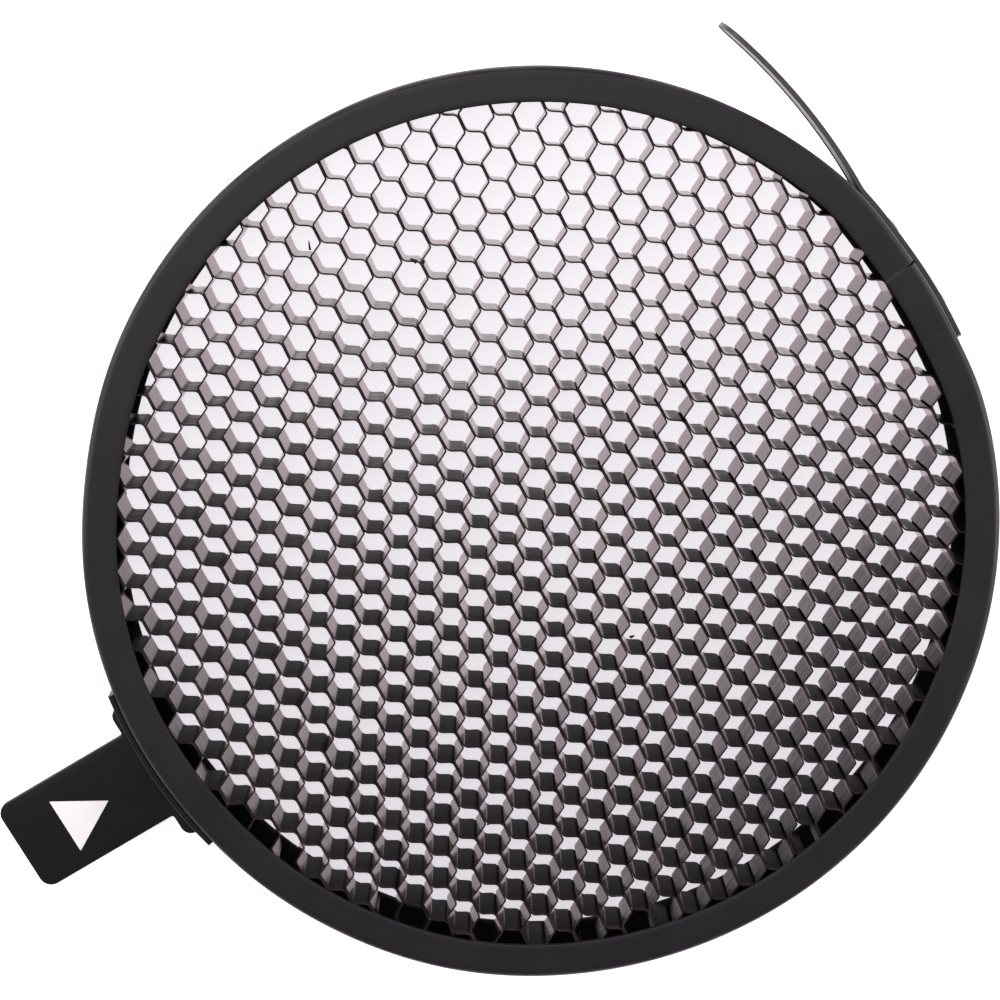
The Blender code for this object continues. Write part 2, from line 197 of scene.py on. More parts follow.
def dust(tree, waves, reach, amount):
    """Specks of dust: amount inside half of reach, in cells, and nothing beyond reach."""
    near = add_node(tree, "ShaderNodeTexVoronoi",
                    {"Vector": object_place(tree, waves), "Scale": 1.0, "Randomness": 1.0})
    return remapped(tree, near.outputs["Distance"], 0.0, amount, reach, reach / 2)


def painted(tree, name):
    """The number that the mesh carries at each vertex under this name."""
    return add_node(tree, "ShaderNodeAttribute", {}, attribute_name=name).outputs["Fac"]


def remapped(tree, value, low, high, from_low=0.0, from_high=1.0):
    """Carries value from its own range to low ... high, and holds it there."""
    return add_node(tree, "ShaderNodeMapRange", {"Value": value, "From Min": from_low,
                                                 "From Max": from_high, "To Min": low,
                                                 "To Max": high}).outputs[0]


def mixed(tree, share, first, second):
    """The colour from first to second as share goes from 0 to 1."""
    return add_node(tree, "ShaderNodeMix", {0: share, 6: first, 7: second},
                    data_type="RGBA").outputs[2]


def arithmetic(tree, operation, *terms):
    """One step of arithmetic on sockets or numbers."""
    return add_node(tree, "ShaderNodeMath", dict(enumerate(terms)), operation=operation).outputs[0]


def along_direction(tree, place, direction):
    """How far a place or a normal reaches along a direction: their dot product."""
    return add_node(tree, "ShaderNodeVectorMath", {0: place, 1: direction},
                    operation="DOT_PRODUCT").outputs["Value"]


def bumped(tree, height, strength, depth):
    """The normal over a relief of the given depth."""
    return add_node(tree, "ShaderNodeBump", {"Height": height, "Strength": strength,
                                             "Distance": depth}).outputs[0]


def polar(radius, angle, z=None):
    """A point round the ring's axis."""
    x, y = AXIS[0] + radius * np.cos(angle), AXIS[1] + radius * np.sin(angle)
    return np.stack([x, y] if z is None else [x, y, z * np.ones_like(x)], axis=-1)


def arc(centre, radius, start, end, count):
    """count points of a circle about centre, from one angle to another."""
    angles = np.linspace(start, end, count)
    return np.asarray(centre) + radius * np.stack([np.cos(angles), np.sin(angles)], axis=-1)


def plan_normals(plan):
    """Unit normals of a plan curve, to the left of its direction."""
    tangent = np.gradient(plan, axis=0)
    tangent /= np.linalg.norm(tangent, axis=1, keepdims=True)
    return np.stack([-tangent[:, 1], tangent[:, 0]], axis=-1)


def grid_mesh(name, rows):
    """A mesh over rows (n, m, 3): quads between neighbours, each row a closed loop.

    The first and last rows are closed with one face each.
    """
    n, m = rows.shape[:2]
    index = np.arange(n * m).reshape(n, m)
    current, following = index[:-1], index[1:]
    quads = np.stack([current, np.roll(current, -1, axis=1), np.roll(following, -1, axis=1),
                      following], axis=-1).reshape(-1, 4)
    mesh = bpy.data.meshes.new(name)
    mesh.from_pydata(rows.reshape(-1, 3), [],
                     quads.tolist() + [index[0, ::-1].tolist(), index[-1].tolist()])
    return mesh


def outward(mesh):
    """Turns every face outwards by the sign of the enclosed volume."""
    mesh.update()
    triangles = np.empty(len(mesh.loop_triangles) * 3, dtype=np.int32)
    mesh.loop_triangles.foreach_get("vertices", triangles)
    places = np.empty(len(mesh.vertices) * 3, dtype=np.float32)
    mesh.vertices.foreach_get("co", places)
    corners = places.reshape(-1, 3).astype(float)[triangles.reshape(-1, 3)]
    volume = np.einsum("ij,ij->i", corners[:, 0], np.cross(corners[:, 1], corners[:, 2])).sum()
    if volume < 0:
        mesh.flip_normals()
    return mesh


def sweep(name, plan, section):
    """Carries a closed section along a plan curve.

    A point of the result is the plan's point, moved along its left normal by the section's
    first number, at the height of its second. section is (m, 2), or (n, m, 2) where it changes
    along the way. The two ends are closed.
    """
    section = np.broadcast_to(section, (len(plan),) + np.shape(section)[-2:])
    xy = plan[:, None] + plan_normals(plan)[:, None] * section[..., :1]
    return outward(grid_mesh(name, np.concatenate([xy, section[..., 1:]], axis=-1)))


def rounded_plate(name, outline, low, high, edge, steps=5):
    """A flat plate over a closed outline, its edges turned on a quarter circle.

    Each row is the outline moved in by edge * (1 - sin a) at a height edge * (1 - cos a) from
    the face, for a quarter turn of a at the bottom and again at the top.
    """
    following = np.roll(outline, -1, axis=0)
    around = following - np.roll(outline, 1, axis=0)
    area = np.sum(outline[:, 0] * following[:, 1] - outline[:, 1] * following[:, 0])
    inward = np.stack([-around[:, 1], around[:, 0]], axis=-1) * np.sign(area)
    inward /= np.linalg.norm(inward, axis=1, keepdims=True)
    turn = np.linspace(0, pi / 2, steps)
    inset = np.concatenate([edge * (1 - np.sin(turn)), edge * (1 - np.cos(turn))])
    height = np.concatenate([low + edge * (1 - np.cos(turn)), high - edge * (1 - np.sin(turn))])
    xy = outline[None] + inward[None] * inset[:, None, None]
    z = np.broadcast_to(height[:, None, None], xy.shape[:2] + (1,))
    return outward(grid_mesh(name, np.concatenate([xy, z], axis=-1)))


def turned(name, profile, steps, place, direction):
    """Turns a profile of (radius, height) about its axis: each row is one circle of the profile.

    The profile's two ends lie next to the axis and are closed with one face. The axis is laid
    along direction at place.
    """
    angles = np.linspace(0, 2 * pi, steps, endpoint=False)
    profile = np.array(profile)
    ring = np.stack([np.cos(angles), np.sin(angles)], axis=-1)
    xy = profile[:, None, :1] * ring[None]
    z = np.broadcast_to(profile[:, None, 1:], xy.shape[:2] + (1,))
    mesh = grid_mesh(name, np.concatenate([xy, z], axis=-1))
    lay = Vector(direction).to_track_quat("Z", "Y").to_matrix().to_4x4()
    mesh.transform(Matrix.Translation(place) @ lay)
    return outward(mesh)


def smooth_noise(places, scale, seed):
    """Soft noise between about -1 and 1: a sum of sines in random directions.

    The waves are between one and three scales long, and all their numbers come from seed.
    """
    dice = np.random.default_rng(seed)
    total = np.zeros(places.shape[:-1])
    waves = 9
    for _ in range(waves):
        direction = dice.normal(size=places.shape[-1])
        direction *= 2 * pi / (scale * dice.uniform(1, 3) * np.linalg.norm(direction))
        total += np.sin(places @ direction + dice.uniform(0, 2 * pi))
    return total / waves ** 0.5


def add_piece(mesh, material, replaced=(), smooth=radians(35)):
    """Puts a finished mesh in the scene as a piece that stands for CAD nodes."""
    mesh.materials.append(material)
    mesh.shade_smooth()
    mesh.set_sharp_from_angle(angle=smooth)
    piece = bpy.data.objects.new(mesh.name, mesh)
    bpy.context.scene.collection.objects.link(piece)
    if replaced:
        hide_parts(*replaced)
    return piece


def spread(mesh, name, values):
    """Stores one number per vertex, for a material to read."""
    attribute = mesh.attributes.new(name, "FLOAT", "POINT")
    attribute.data.foreach_set("value", np.asarray(values, dtype=np.float32).ravel())


# ---- finishes -------------------------------------------------------------------------------
SHADED_WALL_ANGLE = radians(54)        # walls facing this way are made dull and dark: painted shade


def satin_enamel_on_steel(paint):
    """Stove enamel sprayed on folded sheet: satin, a very fine orange peel, dust and rubbed bends."""
    material, tree, shader = new_material("satin_enamel_on_steel", {"IOR": 1.38})
    peel = noise(tree, 2600, 3.0, Roughness=0.6)                   # 0.4 mm orange peel
    cloud = noise(tree, 60, 2.0)                                   # 15 mm spray passes
    thick, thin = (tuple(part * share for part in paint) + (1,) for share in (0.86, 1.14))
    worn = mixed(tree, arithmetic(tree, "MULTIPLY", painted(tree, "rub"), peel),
                 mixed(tree, cloud, thick, thin), linear("#6a6266"))
    dusty = mixed(tree, dust(tree, 230, 0.028, 0.35), worn, linear("#8b8486"))    # every 4 mm
    feed(tree, shader, {"Base Color": dusty,
                        "Roughness": remapped(tree, cloud, 0.40, 0.50, 0.3, 0.7),
                        "Normal": bumped(tree, peel, 0.16, 0.05 * MM)})
    return material


def matt_paint_on_foil():
    """Thin black paint on rolled foil: brownish, streaked along the roll, dull at the cut edges.

    Its fine roughness scatters light that falls on it steeply and mirrors light that grazes it.
    The share that stays a mirror falls as exp(-k cos^2). k is 110 on walls that face the angle set above
    and 28 on walls turned from it, times 0.6 to 1.5 by the streaks, so the walls facing that way come
    out dull and dark: a painted shade. The foil's warm metal shows in that share, so it drives Metallic.
    """
    material, tree, shader = new_material("matt_paint_on_foil",
                                          {"IOR": 1.2, "Specular Tint": linear("#ffe3e6")})
    streaks = noise(tree, (140, 140, 2200), 4.0, Roughness=0.65)   # 0.5 mm roll lines
    patches = noise(tree, 220, 2.0)                                # 4.5 mm thin places
    tone = arithmetic(tree, "MULTIPLY", streaks, patches)
    colour = mixed(tree, remapped(tree, tone, 0.0, 1.0, 0.14, 0.40),
                   linear("#151112"), linear("#362c2e"))
    facing = add_node(tree, "ShaderNodeLayerWeight", {"Blend": 0.5}).outputs["Facing"]
    cosine = arithmetic(tree, "SUBTRACT", 1.0, facing)
    wall = add_node(tree, "ShaderNodeTexCoord", {}).outputs["Normal"]
    # how far each wall faces the shaded side: those walls get the larger k, a painted shade
    sprayed = along_direction(tree, wall, (cos(SHADED_WALL_ANGLE), sin(SHADED_WALL_ANGLE), 0))
    fall = arithmetic(tree, "MULTIPLY", remapped(tree, sprayed, -28.0, -110.0, 0.62, 0.92),
                      remapped(tree, streaks, 1.5, 0.6, 0.3, 0.7))
    square = arithmetic(tree, "MULTIPLY", cosine, cosine)
    mirror = arithmetic(tree, "EXPONENT", arithmetic(tree, "MULTIPLY", square, fall))
    # heavier paint near the front leaves less of a mirror there
    bare = remapped(tree, painted(tree, "depth"), 0.55, 1.0, 0.0, 0.8)
    feed(tree, shader, {"Base Color": colour,
                        "Metallic": arithmetic(tree, "MULTIPLY", mirror, bare),
                        "Roughness": remapped(tree, mirror, 0.60, 0.15, 0.0, 0.35),
                        "Normal": bumped(tree, streaks, 0.12, 0.05 * MM)})
    return material


def coated_spring_steel():
    """Blued strip with a thin black coat: smoother than the rim, grain along the strip."""
    material, tree, shader = new_material("coated_spring_steel", {"IOR": 1.55})
    grain = noise(tree, (120, 120, 4200), 3.0)                     # 0.25 mm rolling lines
    feed(tree, shader, {"Base Color": mixed(tree, grain, linear("#35302f"), linear("#494144")),
                        "Roughness": remapped(tree, grain, 0.30, 0.42),
                        "Normal": bumped(tree, grain, 0.12, 0.03 * MM)})
    return material


def blackened_rivet():
    """Upset rivet under the same black coat, with the snap tool's faint marks."""
    material, tree, shader = new_material("blackened_rivet", {"IOR": 1.5})
    marks = noise(tree, 1800, 2.0)                                 # 0.5 mm tool marks
    feed(tree, shader, {"Base Color": mixed(tree, marks, linear("#262325"), linear("#3c3638")),
                        "Roughness": remapped(tree, marks, 0.30, 0.45)})
    return material


def moulded_black_nylon():
    """Injection-moulded tab: deep black, a fine spark-eroded grain and faint flow near the gate."""
    material, tree, shader = new_material("moulded_black_nylon", {"IOR": 1.38})
    grain = noise(tree, 3800, 4.0, Roughness=0.7)                  # 0.25 mm mould grain
    flow = noise(tree, (45, 130, 130), 2.0, Distortion=0.6)        # 20 mm flow marks
    base = mixed(tree, flow, linear("#070708"), linear("#0d0d0e"))
    dusty = mixed(tree, dust(tree, 300, 0.030, 0.10), base, linear("#6a6868"))    # every 3 mm
    feed(tree, shader, {"Base Color": dusty, "Roughness": remapped(tree, flow, 0.34, 0.46),
                        "Normal": bumped(tree, grain, 0.10, 0.03 * MM)})
    return material


def screen_printed_white():
    """One coat of white ink: slightly warm, of uneven thickness, matt."""
    material, tree, shader = new_material("screen_printed_white", {"IOR": 1.5, "Roughness": 0.55})
    ink = noise(tree, 500, 3.0)                                    # 2 mm ink density
    feed(tree, shader, {"Base Color": mixed(tree, ink, linear("#f3edef"), linear("#fdf8f9"))})
    return material


# ---- rim ------------------------------------------------------------------------------------
def channel_section(lip, bend):
    """The folded channel as (radius, height): a sheet's middle line, thickened, its edges round.

    The middle line runs in along the front lip's line, down the wall and in along the rear lip,
    with a quarter circle at each bend; half the sheet is laid on each side of it.
    """
    half = SHEET / 2
    inner = RIM_RADIUS - lip + half
    turn = bend - half
    corner = RIM_RADIUS - bend
    front = np.linspace([inner, RIM_HEIGHT - half], [corner, RIM_HEIGHT - half], 8)
    fold = arc((corner, RIM_HEIGHT - bend), turn, pi / 2, 0, 8)
    wall = np.linspace([RIM_RADIUS - half, RIM_HEIGHT - bend], [RIM_RADIUS - half, bend], 6)
    middle = np.concatenate([front, fold[1:], wall[1:-1]])
    middle = np.concatenate([middle, (middle * (1, -1) + (0, RIM_HEIGHT))[::-1]])
    middle = middle[np.r_[True, np.linalg.norm(np.diff(middle, axis=0), axis=1) > 1e-6]]
    normal = plan_normals(middle)
    start = arc(middle[0], half, pi / 2, 3 * pi / 2, 6)[1:-1]
    end = arc(middle[-1], half, pi / 2, 3 * pi / 2, 6)[1:-1]
    return np.concatenate([middle + normal * half, end[::-1], (middle - normal * half)[::-1],
                           start[::-1]])


SEAM_CROWDING = 0.92             # how much finer the ring is divided at its seam, 0 to 1
NOTCH_FADE = 0.7 * MM            # the notches at the bends close over this length
END_SPRING = 0.06 * MM           # one end of the sheet stands out, the other in,
SPRING_FADE = 6 * MM             # and they come back into line over this length
RIM_WAVE = 0.04 * MM             # unevenness left by the rolls
WAVE_SPAN = 0.35                 # its shortest wave, in radians round the ring
BEND_WEAR, SEAM_WEAR = 0.45, 0.5       # how far the paint is rubbed there, 0 to 1
WEAR_PATCH = 12 * MM
EDGE_FADE = 0.15 * MM            # paint is thin this close to the seam's edges
SEAM_FLAT = 0.8 * MM             # the sheet's two ends don't take the curve
FLAT_MIDDLE = radians(-4)
FLAT_HALF = radians(11.5)
# where the rolled ring is out of round: angle, half width (degrees) and height (mm)
BULGES = ((136, 14, -0.75), (219, 24, 0.6), (84, 16, 0.35))


def out_of_round(angle):
    """How far the ring and what is riveted to it stand out at an angle from the true circle.

    Each bulge is height * exp(-(angle off its middle / half width)^2). The flat at the seam has
    the fourth power in its place, so that it is nearly even over the strip's foot.
    """
    around = np.mod(angle, 2 * pi)
    off = np.mod(around - FLAT_MIDDLE + pi, 2 * pi) - pi
    shift = -SEAM_FLAT * np.exp(-(off / FLAT_HALF) ** 4)
    for middle, half, height in BULGES:
        shift = shift + height * MM * np.exp(-((around - radians(middle)) / radians(half)) ** 2)
    return shift


class GRID_OT_rim(bpy.types.Operator):
    """Builds the folded steel rim, open at its seam"""
    bl_idname = "grid.rim"
    bl_label = "Rim"

    def execute(self, context):
        """Each row is the folded section, moved out and turned by what the ring does there.

        The vertices carry rub: how far the paint is worn, on the bends and at the seam.
        """
        sizes = context.scene.grid_rim
        section = channel_section(sizes.lip, sizes.bend)
        half_seam = sizes.seam / 2 / RIM_RADIUS
        share = np.linspace(0, 1, sizes.steps)
        crowded = share - SEAM_CROWDING * np.sin(2 * pi * share) / (2 * pi)
        angles = half_seam + (2 * pi - 2 * half_seam) * crowded
        opening = np.minimum(angles, 2 * pi - angles) * RIM_RADIUS
        side = np.sign(pi - angles)
        depth = np.minimum(section[:, 1], RIM_HEIGHT - section[:, 1])
        past_lip = np.clip((section[:, 0] - RIM_RADIUS + 1.5 * sizes.bend) / sizes.bend, 0, 1)
        cut = sizes.notch / 2 / RIM_RADIUS * np.exp(-opening / NOTCH_FADE)
        turn = angles[:, None] + (side * cut)[:, None] * past_lip
        spring = END_SPRING * np.exp(-opening / SPRING_FADE) * side
        wave = RIM_WAVE * smooth_noise(angles[:, None], WAVE_SPAN, 3) + out_of_round(angles)
        radius = section[None, :, 0] + (spring + wave)[:, None]
        rows = polar(radius, turn, np.broadcast_to(section[:, 1], radius.shape))
        mesh = outward(grid_mesh("rim", rows))
        at_bend = (section[:, 0] > RIM_RADIUS - sizes.bend) & (depth < sizes.bend)
        rub = np.where(at_bend, np.sin(pi * np.clip(depth / sizes.bend, 0, 1)), 0)
        patchy = np.clip(0.5 + smooth_noise(rows * (1, 1, 0), WEAR_PATCH, 5), 0, 1)
        at_seam = SEAM_WEAR * np.exp(-opening / EDGE_FADE)[:, None]
        spread(mesh, "rub", np.clip(BEND_WEAR * rub[None] * patchy + at_seam, 0, 1))
        piece = add_piece(mesh, satin_enamel_on_steel(sizes.paint), ["rim_channel"])
        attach(piece, "root")
        return {"FINISHED"}


# ---- foil core ------------------------------------------------------------------------------
ROW_OFFSET = -0.79 * MM          # middle row to the ring's axis
ROW_SKEW = -0.27 * MM            # each row lies this much further along
CELL_PHASE = 3.2 * MM            # a cell's middle in the middle row
GLUE_LINE = 0.46                 # foil's middle to the glue line, in foil thicknesses
FOLD_SCATTER = 0.05 * MM         # misplacement of single folds
FOIL_PROUD = 0.05 * MM           # the foils stand this much past the block's faces
RIPPLE = 0.05 * MM               # soft unevenness of the pulled block
RIPPLE_SPAN = 7 * MM
SAW_WAVE = 0.05 * MM             # unevenness of the sawn front edge
SAW_WAVE_SPAN = 6 * MM
SAW_DENT = 0.04 * MM             # the edges are pushed aside by this much, one way at each face
SAW_DENT_SPAN = 5 * MM
FOIL_LEVELS = 7
# first seeds of the random draws for each foil: its slip, its edge's height and its dents
SLIP_SEED, SAW_SEED, DENT_SEED = 100, 40, 140
# where the stack crept along as it was glued, and where it was set straight: foil, creep in mm
CREEP = ((2, -0.4), (9, 0.1), (13.5, 0.8), (16.5, -0.3), (27, -0.15), (32.5, 0.95), (35, -0.3),
         (41, 0.45), (44.5, -0.9), (46.5, 0.5), (50.5, -0.8))


def ribbon_plan(sizes, number):
    """The middle line of one foil, in along and across, before the block wanders.

    It is a trapezoid wave: flats of one cell side at two levels, half a row apart, joined by
    walls at the expansion angle. The rolls pressed one flank of each tooth harder, so its two
    folds are crisp and the other flank's are wide. Foils alternate: one bulges up from its glue
    line, the next one down.

    Each fold is a circular arc tangent to both sides, as a rational curve over t from 0 to 1:
    ((1-t)^2 p0 + 2 w t (1-t) p1 + t^2 p2) / ((1-t)^2 + 2 w t (1-t) + t^2), where p1 is the sharp
    corner, p0 and p2 lie radius * tan(turn / 2) before and after it, and w is cos(turn / 2).
    """
    row, upper = number // 2, number % 2
    way = 1 if upper else -1
    dice = np.random.default_rng(SLIP_SEED + number)
    half_pitch = sizes.cell_side * sin(sizes.expansion)
    period = 2 * sizes.cell_side * (1 + cos(sizes.expansion))
    step = row - FOIL_ROWS // 2
    across = ROW_OFFSET + step * 2 * half_pitch
    start = CELL_PHASE + (step + (0.25 if upper else -0.25)) * ROW_SKEW
    start += dice.normal() * sizes.slip + np.interp(number, *np.transpose(CREEP)) * MM
    low, high = GLUE_LINE * sizes.foil, half_pitch - GLUE_LINE * sizes.foil
    run = (high - low) / tan(sizes.expansion)
    flat = period / 2 - run

    count = int(sizes.radius / period) + 3
    centres = start + period * np.arange(-count, count + 1)
    x = (centres[:, None] + np.array([-flat / 2 - run, -flat / 2, flat / 2, flat / 2 + run])).ravel()
    x = x + dice.normal(size=x.shape) * FOLD_SCATTER
    y = np.tile([low, high, high, low], len(centres))
    corners = np.stack([x, y], axis=-1)

    before = np.diff(corners, axis=0)[:-1]
    after = np.diff(corners, axis=0)[1:]
    before /= np.linalg.norm(before, axis=1, keepdims=True)
    after /= np.linalg.norm(after, axis=1, keepdims=True)
    radii = [sizes.fold, sizes.fold, sizes.crisp, sizes.crisp][::way]
    setback = np.tile(radii, len(centres))[1:-1, None] * tan(sizes.expansion / 2)
    share = np.linspace(0, 1, 6)[None, :, None]
    p0 = (corners[1:-1] - before * setback)[:, None]
    p1 = corners[1:-1][:, None]
    p2 = (corners[1:-1] + after * setback)[:, None]
    weight = cos(sizes.expansion / 2)
    first, second, third = (1 - share) ** 2, 2 * weight * share * (1 - share), share ** 2
    folds = (first * p0 + second * p1 + third * p2) / (first + second + third)
    middles = (p2[:-1, 0] + p0[1:, 0]) / 2
    line = np.concatenate([folds[:-1], middles[:, None]], axis=1).reshape(-1, 2)
    return np.concatenate([line, folds[-1]]) * (1, way) + (0, across)


def wander(sizes, line):
    """Bends a plan line as the pulled block was bent when it was pressed into the rim.

    With x along and y across, both 1 at the core's edge, and lengths in millimetres: the foils
    are shifted along by 0.25, a bow -1.3 y^2, a fan 0.9 x y^2, a squeeze -0.25 x^3 and a shear
    -0.4 y^3. Across they turn by 0.9 x, sag by 0.4 x^2, curl back at their ends by -2.2 x^3 and
    are drawn together by -0.36 x y^2. A soft ripple is added both ways.
    """
    x, y = line[:, 0] / sizes.radius, line[:, 1] / sizes.radius
    along = 0.25 - 1.3 * y ** 2 + 0.9 * x * y ** 2 - 0.25 * x ** 3 - 0.4 * y ** 3
    across = 0.9 * x + 0.4 * x ** 2 - 2.2 * x ** 3 - 0.36 * x * y ** 2
    ripple = np.stack([smooth_noise(line, RIPPLE_SPAN, seed) for seed in (23, 24)], axis=-1)
    return line + np.stack([along, across], axis=-1) * MM + RIPPLE * ripple


def cut_round(line, radius):
    """Keeps the stretch through the line's middle that lies inside a circle, cut on the circle."""
    away = np.linalg.norm(line, axis=1)
    centre = int(np.argmin(np.abs(line[:, 0])))
    if away[centre] > radius:
        return line[:0]
    outside = np.flatnonzero(away > radius)
    first = outside[outside < centre].max() + 1
    last = outside[outside > centre].min() - 1

    def on_circle(inner, outer):
        share = (radius - away[inner]) / (away[outer] - away[inner])
        return line[inner] + share * (line[outer] - line[inner])

    kept = line[first:last + 1]
    return np.concatenate([[on_circle(first, first - 1)], kept, [on_circle(last, last + 1)]])


class GRID_OT_foils(bpy.types.Operator):
    """Builds the corrugated foils of the core, each cut round to fit the rim"""
    bl_idname = "grid.foils"
    bl_label = "Foils"

    def execute(self, context):
        """The section is a tall thin rectangle. It leans by its dent, one way at the front and the
        other at the rear. The vertices carry depth: 0 at the front face, 1 at the rear.
        """
        sizes = context.scene.grid_core
        material = matt_paint_on_foil()
        turn = np.array([[cos(sizes.ribbon_angle), sin(sizes.ribbon_angle)],
                         [-sin(sizes.ribbon_angle), cos(sizes.ribbon_angle)]])
        low, high = FOIL_LOW[2] - FOIL_PROUD, FOIL_HIGH[2] + FOIL_PROUD
        heights = np.linspace(low, high, FOIL_LEVELS)
        half = sizes.foil / 2
        for number in range(2 * FOIL_ROWS):
            line = cut_round(wander(sizes, ribbon_plan(sizes, number)), sizes.radius)
            if len(line) < 20:       # too short to reach across a cell
                continue
            plan = AXIS + line @ turn
            lift = SAW_WAVE * smooth_noise(plan, SAW_WAVE_SPAN, SAW_SEED + number)
            dent = SAW_DENT * smooth_noise(plan, SAW_DENT_SPAN, DENT_SEED + number)
            share = (heights - low) / (high - low)
            side = np.stack([np.full_like(heights, -half), heights], axis=-1)
            section = np.concatenate([side, side[::-1] * (-1, 1)])
            share = np.concatenate([share, share[::-1]])
            rows = np.broadcast_to(section, (len(plan),) + section.shape).copy()
            rows[..., 1] += lift[:, None] * (share > 0.99)
            rows[..., 0] += dent[:, None] * (2 * share - 1)[None]
            mesh = sweep(f"foil_{number + 1:02d}", plan, rows)
            spread(mesh, "depth", np.broadcast_to(1 - share, (len(plan), len(share))))
            node = f"foil_ribbons_{number // 2 + 1:02d}"
            piece = add_piece(mesh, material, [node], smooth=radians(50))
            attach(piece, "root")
        return {"FINISHED"}


class GRID_OT_burrs(bpy.types.Operator):
    """Builds the few slivers of foil torn up at the core's sawn front face"""
    bl_idname = "grid.burrs"
    bl_label = "Burrs"

    def execute(self, context):
        """Each sliver is a thin tongue whose middle line bends over as a quarter circle."""
        stage = context.scene.grid_stage
        across = stage.picture_up - pi / 2
        right = np.array([cos(across), sin(across)])
        up = np.array([-right[1], right[0]])
        material = matt_paint_on_foil()
        thickness, rooted = 0.12 * MM, 0.4       # rooted is the share that is still in the core
        # mm right, mm up, heading in degrees, length and width in mm
        spots = [(-23.6, 52.0, 150, 2.3, 0.8), (-22.6, 51.6, 60, 1.5, 0.7), (-43.9, 54.3, 95, 3.0, 0.45),
                 (17.5, -21.0, 30, 1.6, 0.6), (-9.5, -58.0, 200, 1.5, 0.6)]
        for number, (to_right, to_up, heading, length, width) in enumerate(spots, start=1):
            centre = AXIS + (to_right * right + to_up * up) * MM
            heading, length, width = radians(heading) + across, length * MM, width * MM
            bend = np.linspace(0, pi / 2, 9)
            radius = length / (pi / 2)
            out, rise = radius * (1 - np.cos(bend)), radius * np.sin(bend) - rooted * length
            taper = width / 2 * np.sqrt(1 - 0.9 * (bend / bend[-1]) ** 2)
            side = np.array([-sin(heading), cos(heading)])
            ahead = np.array([cos(heading), sin(heading)])
            spine = centre + out[:, None] * ahead
            rows = []
            for across_by, through in ((-1, -1), (1, -1), (1, 1), (-1, 1)):
                xy = spine + across_by * taper[:, None] * side
                xy = xy - through * thickness / 2 * np.cos(bend)[:, None] * ahead
                z = FOIL_HIGH[2] + rise + through * thickness / 2 * np.sin(bend)
                rows.append(np.column_stack([xy, z]))
            mesh = outward(grid_mesh(f"burr_{number}", np.stack(rows, axis=1)))
            piece = add_piece(mesh, material)
            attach(piece, "root")
        return {"FINISHED"}


# ---- splice strip and leaf ------------------------------------------------------------------
LEAF_KINK = radians(-16.5)       # swing away from the ring at the leaf's root
KINK_LENGTH = 3.5 * MM
LEAF_CURVE = 115 * MM            # radius of the leaf
LEAF_LENGTH = 41.8 * MM
FOOT_START = radians(-11.6)      # where the strip begins on the wall


def strip_plan():
    """The strip's middle line: an arc on the ring's wall, a short bend, then the leaf's own arc.

    The heading turns evenly with the ring along the foot, swings out by the kink over a few
    millimetres, and then turns at the leaf's rate. The line is the sum of its steps.
    """
    wall = RIM_RADIUS + STRIP_GAP + STRIP_SHEET / 2
    foot = wall * (LEAF_ROOT - FOOT_START)
    along = np.linspace(0, foot + LEAF_LENGTH, 260)
    past = np.clip((along - foot) / KINK_LENGTH + 0.5, 0, 1)
    kink = LEAF_KINK * past * past * (3 - 2 * past)
    turned_by = np.minimum(along, foot) / wall + np.maximum(along - foot, 0) / LEAF_CURVE
    heading = FOOT_START + pi / 2 + turned_by + kink
    steps = np.stack([np.cos(heading), np.sin(heading)], axis=-1)
    middle = (steps[1:] + steps[:-1]) / 2 * np.diff(along)[:, None]
    line = polar(wall, FOOT_START) + np.concatenate([[[0, 0]], np.cumsum(middle, axis=0)])
    around = np.arctan2(line[:, 1] - AXIS[1], line[:, 0] - AXIS[0])
    out = np.stack([np.cos(around), np.sin(around)], axis=-1)
    return line + out_of_round(around)[:, None] * out, along


class GRID_OT_splice(bpy.types.Operator):
    """Builds the splice strip and its free leaf as one piece, kinked out at the leaf's root"""
    bl_idname = "grid.splice"
    bl_label = "Splice strip"

    def execute(self, context):
        """The section is a flat bar with rounded edges; its width closes on an ellipse at each end."""
        plan, along = strip_plan()
        round_end, square_end = 4.2 * MM, 1.2 * MM
        to_tip = (along[-1] - along) / round_end
        to_foot = along / square_end
        end = np.clip(np.minimum(to_tip, to_foot), 0, 1)
        width = STRIP_WIDTH / 2 * np.sqrt(np.clip(1 - (1 - end) ** 2, 0.02, 1))
        edge = 0.22 * MM
        corner = arc((0, 0), 1, 0, pi / 2, 5)
        quarter = np.stack([STRIP_SHEET / 2 - edge + edge * corner[:, 0], edge * corner[:, 1]], axis=-1)
        top = np.concatenate([quarter[::-1] * (-1, 1), quarter]) - (0, edge)
        loop = np.concatenate([top, top[::-1] * (1, -1)])
        side = np.where(np.arange(len(loop)) < len(top), 1, -1)
        section = np.empty((len(plan),) + loop.shape)
        section[..., 0] = loop[:, 0]
        section[..., 1] = MID_HEIGHT + loop[:, 1] + side * width[:, None]
        mesh = sweep("splice_strip_and_leaf", plan, section)
        piece = add_piece(mesh, coated_spring_steel(), ["splice_strip", "leaf_spring"])
        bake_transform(piece)
        return {"FINISHED"}


